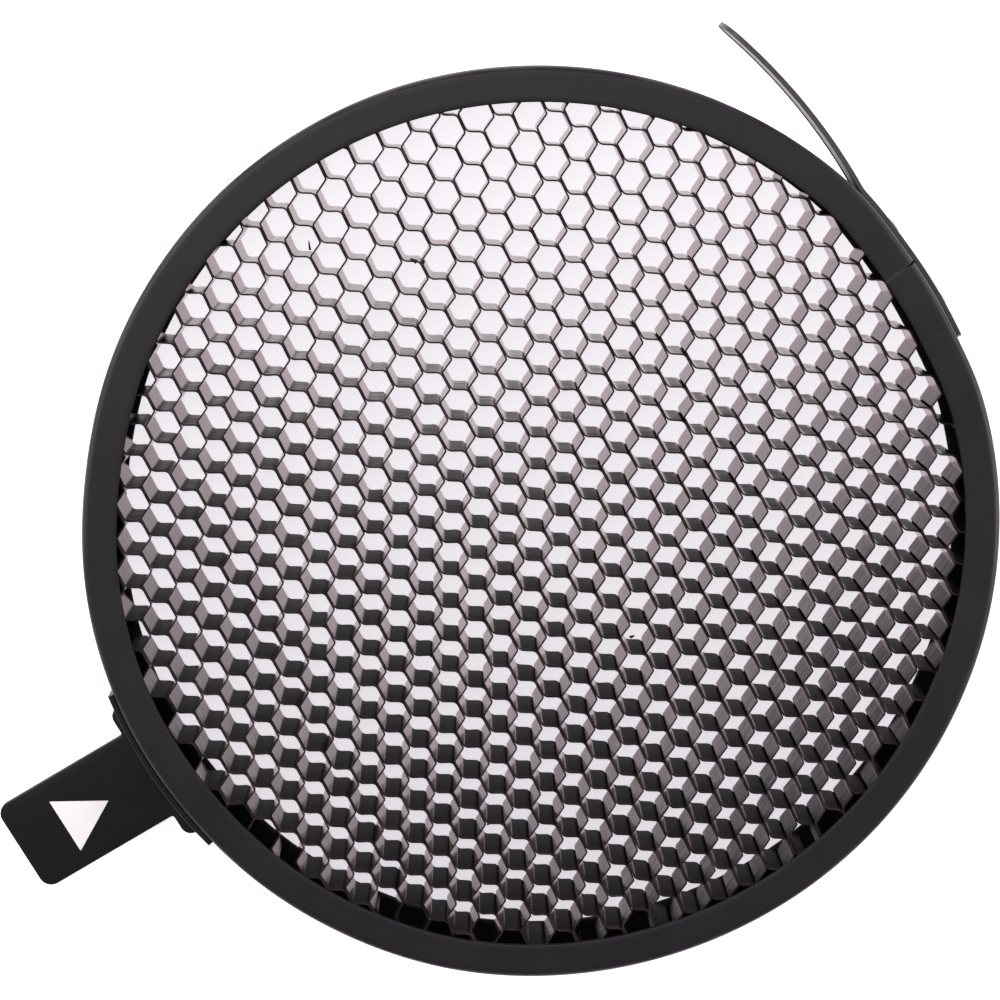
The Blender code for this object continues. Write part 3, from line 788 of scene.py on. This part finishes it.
class GRID_OT_rivets(bpy.types.Operator):
    """Builds the four rivets through the rim's wall"""
    bl_idname = "grid.rivets"
    bl_label = "Rivets"

    def execute(self, context):
        """Each is turned: a low dome on an elliptic arc, the shank, and a flat upset tail.

        The arcs stop a degree short of the axis, where one small face closes them.
        """
        dome_size, tail_size, shank = (2.45 * MM, 0.6 * MM), (1.9 * MM, 0.8 * MM), 1.2 * MM
        almost = radians(89)
        material = blackened_rivet()
        strip_face = RIM_RADIUS + STRIP_GAP + STRIP_SHEET
        flange_face = RIM_RADIUS + STRIP_GAP + FLANGE_WALL
        places = [("splice_rivet_1", SPLICE_MIDDLE - RIVET_ANGLE, strip_face),
                  ("splice_rivet_2", SPLICE_MIDDLE + RIVET_ANGLE, strip_face),
                  ("tab_rivet_1", TAB_ANGLE - RIVET_ANGLE, flange_face),
                  ("tab_rivet_2", TAB_ANGLE + RIVET_ANGLE, flange_face)]
        for name, angle, face in places:
            reach = face - (RIM_RADIUS - SHEET)
            dome = arc((0, 0), 1, almost, 0, 9) * dome_size
            tail = arc((0, 0), 1, 0, -almost, 7) * tail_size - (0, reach)
            profile = np.concatenate([dome, [(shank, 0), (shank, -reach)], tail])
            direction = (cos(angle), sin(angle), 0)
            place = polar(face + out_of_round(angle), np.array(angle), MID_HEIGHT)
            mesh = turned(name + "_finished", profile, 40, Vector(place), direction)
            piece = add_piece(mesh, material, [name])
            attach(piece, "root")
        return {"FINISHED"}


# ---- pull tab -------------------------------------------------------------------------------
TAB_SKEW = radians(174.55)       # direction of the plate, a little off its flange's
TAB_REACH = 124.0 * MM
TAB_WIDTH = 19.4 * MM
TAB_SIDE = 4.0 * MM
TAB_THICKNESS = 1.6 * MM
EAR_REACH = 94.1 * MM
EAR_SPAN = 30.0 * MM
EAR_ANGLE = 0.165                # radians round the ring from its middle to about the ears' ends
FLANGE_WALL = 1.1 * MM
FLANGE_SPREAD = radians(22.8)
ARROW_SIDE = 11.9 * MM
ARROW_REACH = 110.4 * MM
ARROW_ASIDE = -0.4 * MM


def tab_point(reach, side):
    """Points of the plate: reach from the ring's axis along the skewed plate, and sideways."""
    ahead = np.array([cos(TAB_SKEW), sin(TAB_SKEW)])
    base = np.array([0, TAB_SIDE - RIM_RADIUS * sin(pi - TAB_SKEW)])
    left = np.array([ahead[1], -ahead[0]])
    return AXIS + base + np.multiply.outer(reach, ahead) + np.multiply.outer(side, left)


def tab_outline():
    """The T plate seen from above: the ring's wall, the two ears, and the plate between them.

    Corners are quarter circles, worked out in reach and side and then laid on the table.
    """
    seat = RIM_RADIUS + STRIP_GAP + FLANGE_WALL / 2
    half_ear, half_plate = EAR_SPAN / 2, TAB_WIDTH / 2
    near = seat * cos(EAR_ANGLE)
    ear, web, corner = 2.2 * MM, 0.5 * MM, 2.6 * MM          # radii of the three corners
    side = [arc((EAR_REACH - ear, half_ear - ear), ear, pi / 2, 0, 9),
            arc((EAR_REACH + web, half_plate + web), web, pi, 3 * pi / 2, 5),
            arc((TAB_REACH - corner, half_plate - corner), corner, pi / 2, 0, 11)]
    side = np.concatenate([[(near, half_ear)], *side, [(TAB_REACH, 0.2 * half_plate)]])
    loop = np.concatenate([side, (side * (1, -1))[::-1]])
    inner = np.linspace(-half_ear, half_ear, 18)[1:-1]
    loop = np.concatenate([loop, np.stack([np.sqrt(seat ** 2 - inner ** 2), inner], axis=-1)])
    return tab_point(loop[:, 0], loop[:, 1])


class GRID_OT_tab(bpy.types.Operator):
    """Builds the moulded pull tab: its plate and ears, and the flange against the rim's wall"""
    bl_idname = "grid.tab"
    bl_label = "Pull tab"

    def execute(self, context):
        """The flange, a wall with a rounded crown carried round the rim, is united with the plate."""
        plate = rounded_plate("pull_tab_moulding", tab_outline(), TAB_LOW[2],
                              TAB_LOW[2] + TAB_THICKNESS, 0.3 * MM)
        inner = RIM_RADIUS + STRIP_GAP
        spread_angle = np.linspace(TAB_ANGLE - FLANGE_SPREAD / 2, TAB_ANGLE + FLANGE_SPREAD / 2, 60)
        edge = 0.25 * MM
        quarter = arc((0, 0), edge, 0, pi / 2, 4)
        middle, top = FLANGE_WALL / 2 - edge, TAB_HIGH[2] - edge
        crown = np.concatenate([quarter + (middle, top), (quarter * (-1, 1))[::-1] + (-middle, top)])
        foot = [(-FLANGE_WALL / 2, TAB_LOW[2] + edge), (FLANGE_WALL / 2, TAB_LOW[2] + edge)]
        section = np.concatenate([crown, foot])
        plan = polar(inner + FLANGE_WALL / 2, spread_angle)
        flange = sweep("tab_flange", plan, section)
        piece = add_piece(plate, moulded_black_nylon(), ["pull_tab"], smooth=radians(40))
        wall = bpy.data.objects.new("tab_flange", flange)
        context.scene.collection.objects.link(wall)
        joined = piece.modifiers.new("flange", "BOOLEAN")
        joined.operation = "UNION"
        joined.solver = "EXACT"
        joined.object = wall
        context.view_layer.update()
        evaluated = piece.evaluated_get(context.evaluated_depsgraph_get())
        united = bpy.data.meshes.new_from_object(evaluated)
        piece.modifiers.clear()
        piece.data = united
        bpy.data.objects.remove(wall)
        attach(piece, "root")
        return {"FINISHED"}


class GRID_OT_arrow(bpy.types.Operator):
    """Builds the printed arrow on the tab: a plain triangle that points at the rim"""
    bl_idname = "grid.arrow"
    bl_label = "Arrow"

    def execute(self, context):
        """The outline is an equilateral triangle, each corner an arc of a third of a turn."""
        blunt = 0.12 * MM
        reach = ARROW_SIDE / 3 ** 0.5 - 2 * blunt
        outline = np.concatenate([arc((reach * cos(corner), reach * sin(corner)), blunt,
                                      corner + pi / 3, corner - pi / 3, 6)
                                  for corner in (pi, pi / 3, -pi / 3)])
        outline = tab_point(ARROW_REACH + outline[:, 0], ARROW_ASIDE + outline[:, 1])
        face = TAB_LOW[2] + TAB_THICKNESS
        sunk, proud, edge = 0.02 * MM, 0.05 * MM, 0.03 * MM
        mesh = rounded_plate("arrow_print", outline, face - sunk, face + proud, edge, 3)
        piece = add_piece(mesh, screen_printed_white(), ["arrow_label"])
        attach(piece, "root")
        return {"FINISHED"}


# ---- stage ----------------------------------------------------------------------------------
TABLE_HALF = 1.5
TABLE_THICKNESS = 0.02
TABLE_FALL = 0.14                # change of the glow each way over GLOW_REACH
GLOW_REACH = 0.08
WORLD_LIGHT = 0.33
CAMERA_RIGHT = -14.7 * MM        # from the ring's axis to below the camera
CAMERA_UP = 92.7 * MM


def table_finish(glow, fall):
    """Opal acrylic table lit from below: brightest where fall is 0, less so along +fall."""
    material, tree, shader = new_material("opal_acrylic_table", {"Roughness": 0.9, "IOR": 1.3})
    haze = noise(tree, 2, 1.0)
    place = add_node(tree, "ShaderNodeTexCoord", {}).outputs["Object"]
    level = remapped(tree, along_direction(tree, place, (*fall, 0)), glow * (1 + TABLE_FALL),
                     glow * (1 - TABLE_FALL), -GLOW_REACH, GLOW_REACH)
    feed(tree, shader, {"Base Color": mixed(tree, haze, linear("#f4f1f3"), linear("#faf7f9")),
                        "Emission Color": (1.0, 0.958, 1.01, 1), "Emission Strength": level})
    return material


def soft_light(name, place, aim, size, power):
    """A white rectangular area light of size (width, height) at place, turned towards aim."""
    data = bpy.data.lights.new(name, "AREA")
    data.shape = "RECTANGLE"
    data.size, data.size_y = size
    data.energy = power
    lamp = bpy.data.objects.new(name, data)
    lamp.location = place
    lamp.rotation_euler = (Vector(place) - Vector(aim)).to_track_quat("Z", "Y").to_euler()
    bpy.context.scene.collection.objects.link(lamp)


class GRID_OT_stage(bpy.types.Operator):
    """Builds the table, the soft lights and the camera"""
    bl_idname = "grid.stage"
    bl_label = "Table, lights and camera"

    def execute(self, context):
        stage = context.scene.grid_stage
        corner = TABLE_HALF * np.array([[-1, -1], [1, -1], [1, 1], [-1, 1]])
        rows = np.stack([np.concatenate([corner, np.full((4, 1), z)], axis=-1)
                         for z in (-TABLE_THICKNESS, 0.0)])
        mesh = outward(grid_mesh("table", rows))
        across = stage.picture_up - pi / 2
        mesh.materials.append(table_finish(stage.table_glow, (sin(across), -cos(across))))
        table = bpy.data.objects.new("table", mesh)
        context.scene.collection.objects.link(table)

        right = Vector((cos(across), sin(across), 0))
        up = Vector((-sin(across), cos(across), 0))
        axis = Vector((AXIS[0], AXIS[1], 0))

        def at(to_right, to_up, height):
            return axis + right * to_right + up * to_up + Vector((0, 0, height))

        soft_light("right_window", at(0.75, 0.05, 0.45), at(0, 0, 0), (0.7, 0.5), 5.4)
        soft_light("left_window", at(-0.70, 0.25, 0.55), at(0, 0, 0), (0.6, 0.6), 5.2)
        soft_light("top_box", at(-0.15, 0.35, 0.85), at(0, 0, 0), (0.6, 0.6), 2.8)

        world = bpy.data.worlds.new("studio")
        world.use_nodes = True
        feed(world.node_tree, world.node_tree.nodes["Background"],
             {"Color": (1, 0.95, 0.985, 1), "Strength": WORLD_LIGHT})
        context.scene.world = world
        context.scene.view_settings.view_transform = "Standard"

        data = bpy.data.cameras.new("camera")
        data.sensor_width = 36
        data.lens = stage.lens
        data.clip_start = 0.01
        camera = bpy.data.objects.new("camera", data)
        tilt = Matrix.Rotation(-stage.camera_tilt, 3, "X")
        side = Matrix.Rotation(-stage.camera_side, 3, "Y")
        pose = (Matrix((right, up, (0, 0, 1))).transposed() @ side @ tilt).to_4x4()
        pose.translation = at(CAMERA_RIGHT, CAMERA_UP, stage.camera_height)
        camera.matrix_world = pose
        context.scene.collection.objects.link(camera)
        context.scene.camera = camera
        return {"FINISHED"}


class GRID_PT_panel(bpy.types.Panel):
    """Lists the grid's sizes and the steps that build it"""
    bl_idname = "GRID_PT_panel"
    bl_label = "Honeycomb Grid"
    bl_space_type = "VIEW_3D"
    bl_region_type = "UI"
    bl_category = "Grid"

    def draw(self, context):
        for group in GROUPS:
            box = self.layout.box()
            settings = getattr(context.scene, group)
            for key in settings.bl_rna.properties.keys():
                if key not in ("rna_type", "name"):
                    box.prop(settings, key)
        for operator in OPERATORS:
            self.layout.operator(operator.bl_idname)


GROUPS = {"grid_rim": GRID_PG_rim, "grid_core": GRID_PG_core, "grid_stage": GRID_PG_stage}
OPERATORS = (GRID_OT_stage, GRID_OT_rim, GRID_OT_foils, GRID_OT_burrs, GRID_OT_splice,
             GRID_OT_rivets, GRID_OT_tab, GRID_OT_arrow)


def register():
    for cls in (*GROUPS.values(), *OPERATORS, GRID_PT_panel):
        bpy.utils.register_class(cls)
    for name, group in GROUPS.items():
        setattr(bpy.types.Scene, name, PointerProperty(type=group))


def unregister():
    for name in GROUPS:
        delattr(bpy.types.Scene, name)
    for cls in reversed((*GROUPS.values(), *OPERATORS, GRID_PT_panel)):
        bpy.utils.unregister_class(cls)


def main():
    register()
    for operator in OPERATORS:
        group, name = operator.bl_idname.split(".")
        getattr(getattr(bpy.ops, group), name)()


if __name__ == "__main__":
    main()
